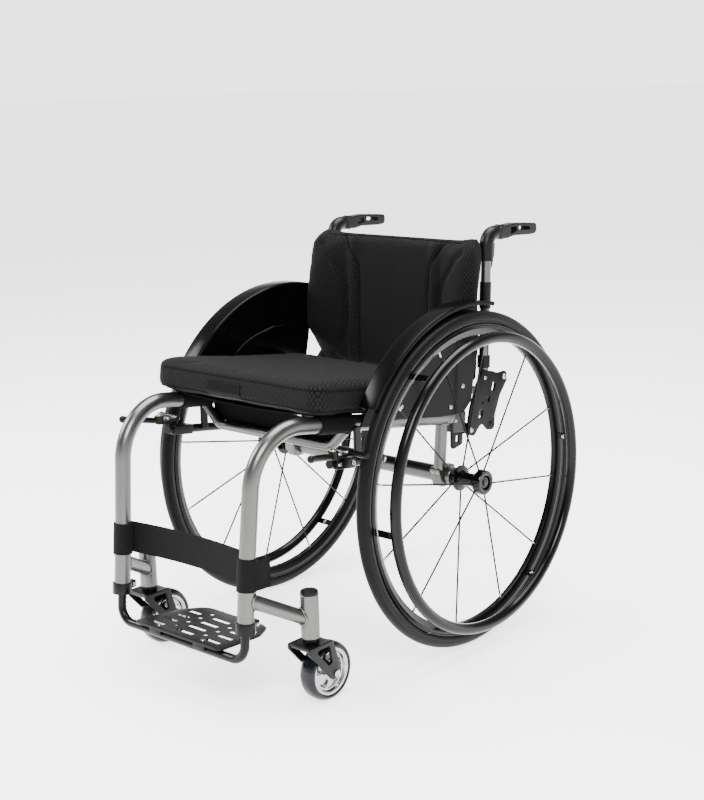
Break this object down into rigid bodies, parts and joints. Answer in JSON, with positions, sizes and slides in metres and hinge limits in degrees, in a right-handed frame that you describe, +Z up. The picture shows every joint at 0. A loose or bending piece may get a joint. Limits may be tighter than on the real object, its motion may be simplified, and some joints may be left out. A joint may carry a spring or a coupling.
{
  "type": "manual wheelchair",
  "caption": "Rigid-frame manual wheelchair with spoked quick-release rear wheels, handrims, swivelling casters, fold-down back, folding push grips and scissor brakes.",
  "frame": {"origin": "on the floor, at the middle of the chair's bounding box", "axes": "+X to the sitter's left, -Y the way the chair faces, +Z up"},
  "size_m": [0.5976, 0.8101, 0.7452],
  "materials": {
    "satin_silver": "satin silver, brushed",
    "cast_grey": "matt cast grey",
    "steel": "brushed",
    "polished_silver": "polished",
    "satin_black": "satin black",
    "plate_black": "satin black anodised",
    "gloss_black": "gloss black",
    "handle_plastic": "fine-textured black",
    "dark_grey_plate": "matt dark grey",
    "black_webbing": "woven black webbing",
    "spacer_mesh": "black spacer mesh",
    "tyre_rubber": "satin black rubber",
    "rim_black": "satin black anodised",
    "hub_black": "gloss black",
    "handrim_black": "gloss black anodised",
    "fork_black": "satin black",
    "caster_tyre": "gloss blue-black"
  },
  "bodies": {
    "frame": {"axle_tube": "satin_silver", "front_cross_tube": "satin_silver", "seat_sling": "black_webbing", "calf_strap": "black_webbing", "main_tube_left": "satin_silver", "caster_arm_left": "satin_silver", "caster_housing_left": "satin_silver", "caster_cap_left": "satin_black", "rear_strut_left": "satin_silver", "rear_bracket_left": "cast_grey", "side_guard_left": "gloss_black", "footrest_clamp_left": "satin_black", "brake_mount_left": "satin_black", "main_tube_right": "satin_silver", "caster_arm_right": "satin_silver", "caster_housing_right": "satin_silver", "caster_cap_right": "satin_black", "rear_strut_right": "satin_silver", "rear_bracket_right": "cast_grey", "side_guard_right": "gloss_black", "footrest_clamp_right": "satin_black", "brake_mount_right": "satin_black"},
    "cushion": {"seat_cushion": "spacer_mesh"},
    "footrest": {"footrest_tube": "satin_black"},
    "foot_plate": {"foot_plate": "dark_grey_plate"},
    "backrest": {"back_pad": "spacer_mesh", "back_cross_bar": "satin_silver", "back_cane_left": "satin_silver", "back_plate_left": "plate_black", "handle_elbow_left": "handle_plastic", "back_cane_right": "satin_silver", "back_plate_right": "plate_black", "handle_elbow_right": "handle_plastic"},
    "axle_left": {"axle_pin_left": "steel"},
    "wheel_left": {"tyre_left": "tyre_rubber", "rim_left": "rim_black", "wheel_hub_left": "hub_black", "handrim_left": "handrim_black"},
    "button_left": {"axle_button_left": "hub_black"},
    "caster_left": {"caster_fork_left": "fork_black", "caster_axle_left": "steel"},
    "caster_wheel_left": {"caster_tyre_left": "caster_tyre", "caster_hub_left": "polished_silver"},
    "grip_left": {"grip_left": "handle_plastic"},
    "brake_lever_left": {"brake_lever_left": "satin_black"},
    "brake_arm_left": {"brake_arm_left": "satin_black"},
    "axle_right": {"axle_pin_right": "steel"},
    "wheel_right": {"tyre_right": "tyre_rubber", "rim_right": "rim_black", "wheel_hub_right": "hub_black", "handrim_right": "handrim_black"},
    "button_right": {"axle_button_right": "hub_black"},
    "caster_right": {"caster_fork_right": "fork_black", "caster_axle_right": "steel"},
    "caster_wheel_right": {"caster_tyre_right": "caster_tyre", "caster_hub_right": "polished_silver"},
    "grip_right": {"grip_right": "handle_plastic"},
    "brake_lever_right": {"brake_lever_right": "satin_black"},
    "brake_arm_right": {"brake_arm_right": "satin_black"}
  },
  "joints": [
    {"name": "cushion_lift_off", "type": "slide", "parent": "frame", "child": "cushion", "axis": [0, 0, -1], "range_m": [-0.15, 0]},
    {"name": "footrest_height", "type": "slide", "parent": "frame", "child": "footrest", "axis": [0, 0.0971, 0.9953], "range_m": [-0.04, 0.01]},
    {"name": "foot_plate_flip", "type": "hinge", "parent": "footrest", "child": "foot_plate", "pos_m": [0, -0.3929, 0.097], "axis": [1, 0, 0], "range_deg": [0, 50]},
    {"name": "backrest_fold", "type": "hinge", "parent": "frame", "child": "backrest", "pos_m": [0, 0.1568, 0.3795], "axis": [1, 0, 0], "range_deg": [0, 25]},
    {"name": "wheel_pull_off_left", "type": "slide", "parent": "frame", "child": "axle_left", "axis": [1, 0, 0.0087], "range_m": [0, 0.12]},
    {"name": "wheel_spin_left", "type": "hinge", "parent": "axle_left", "child": "wheel_left", "pos_m": [0.2435, 0.1, 0.30499], "axis": [1, 0, 0.0087], "continuous": true},
    {"name": "axle_button_press_left", "type": "slide", "parent": "axle_left", "child": "button_left", "axis": [-1, 0, -0.0087], "range_m": [0, 0.003], "stiffness_N_per_m": 300},
    {"name": "caster_swivel_left", "type": "hinge", "parent": "frame", "child": "caster_left", "pos_m": [0.2035, -0.287, 0.1195], "axis": [0, 0, 1], "continuous": true},
    {"name": "caster_roll_left", "type": "hinge", "parent": "caster_left", "child": "caster_wheel_left", "pos_m": [0.2035, -0.254, 0.051], "axis": [1, 0, 0], "continuous": true},
    {"name": "grip_fold_left", "type": "hinge", "parent": "backrest", "child": "grip_left", "pos_m": [0.188, 0.267, 0.7314], "axis": [1, 0, 0], "range_deg": [-90, 0]},
    {"name": "brake_lever_turn_left", "type": "hinge", "parent": "frame", "child": "brake_lever_left", "pos_m": [0.2144, -0.2304, 0.4216], "axis": [0, 0, 1], "range_deg": [-70, 0]},
    {"name": "brake_arm_turn_left", "type": "hinge", "parent": "frame", "child": "brake_arm_left", "pos_m": [0.212, -0.194, 0.4108], "axis": [0, 0, 1], "range_deg": [-26, 0]},
    {"name": "wheel_pull_off_right", "type": "slide", "parent": "frame", "child": "axle_right", "axis": [-1, 0, 0.0087], "range_m": [0, 0.12]},
    {"name": "wheel_spin_right", "type": "hinge", "parent": "axle_right", "child": "wheel_right", "pos_m": [-0.2435, 0.1, 0.30499], "axis": [1, 0, -0.0087], "continuous": true},
    {"name": "axle_button_press_right", "type": "slide", "parent": "axle_right", "child": "button_right", "axis": [1, 0, -0.0087], "range_m": [0, 0.003], "stiffness_N_per_m": 300},
    {"name": "caster_swivel_right", "type": "hinge", "parent": "frame", "child": "caster_right", "pos_m": [-0.2035, -0.287, 0.1195], "axis": [0, 0, 1], "continuous": true},
    {"name": "caster_roll_right", "type": "hinge", "parent": "caster_right", "child": "caster_wheel_right", "pos_m": [-0.2035, -0.254, 0.051], "axis": [1, 0, 0], "continuous": true},
    {"name": "grip_fold_right", "type": "hinge", "parent": "backrest", "child": "grip_right", "pos_m": [-0.188, 0.267, 0.7314], "axis": [1, 0, 0], "range_deg": [-90, 0]},
    {"name": "brake_lever_turn_right", "type": "hinge", "parent": "frame", "child": "brake_lever_right", "pos_m": [-0.2144, -0.2304, 0.4216], "axis": [0, 0, 1], "range_deg": [0, 70]},
    {"name": "brake_arm_turn_right", "type": "hinge", "parent": "frame", "child": "brake_arm_right", "pos_m": [-0.212, -0.194, 0.4108], "axis": [0, 0, 1], "range_deg": [0, 26]}
  ],
  "couplings": [
    {"joint": "brake_arm_turn_left", "follows": "brake_lever_turn_left", "ratio": 0.36},
    {"joint": "brake_arm_turn_right", "follows": "brake_lever_turn_right", "ratio": 0.36}
  ]
}
